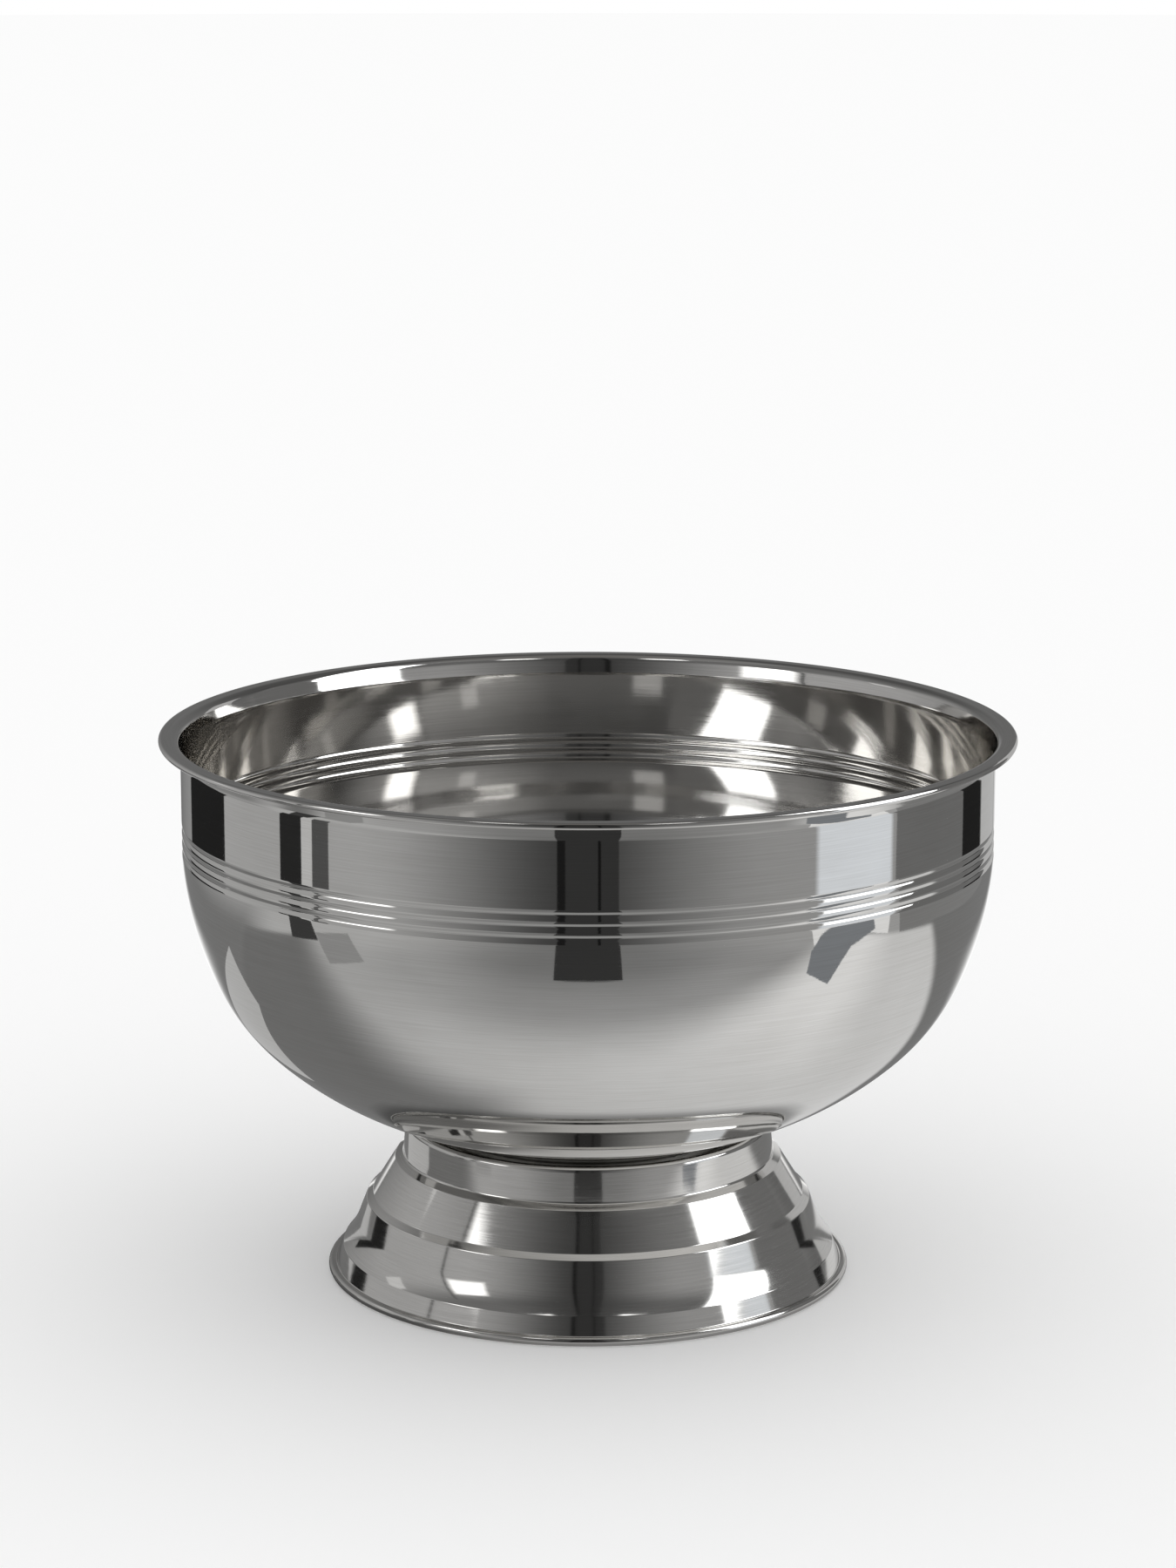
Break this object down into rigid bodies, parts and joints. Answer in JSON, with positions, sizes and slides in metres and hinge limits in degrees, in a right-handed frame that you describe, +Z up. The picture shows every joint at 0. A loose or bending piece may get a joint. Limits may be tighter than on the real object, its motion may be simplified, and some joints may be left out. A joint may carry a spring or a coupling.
{
  "type": "punch bowl",
  "caption": "Round footed punch bowl in polished stainless steel: straight wall with rolled grooves, a slight flare and a flat lip, deep belly and a stepped foot with a beaded base.",
  "frame": {"origin": "centre of the ring that the foot rests on, on the bowl's axis, at table level", "axes": "+Z up along the axis of revolution; X and Y are any two level directions"},
  "size_m": [0.3999, 0.4, 0.2602],
  "materials": {
    "polished_steel": "polished",
    "plate_steel": "satin",
    "fastener_steel": "satin"
  },
  "bodies": {
    "root": {"bowl_shell": "polished_steel", "foot_shell": "polished_steel", "mounting_disc": "plate_steel", "threaded_stud": "fastener_steel", "clamp_plate": "plate_steel", "flat_washer": "fastener_steel", "spring_washer": "fastener_steel", "hex_nut": "fastener_steel"}
  },
  "joints": []
}
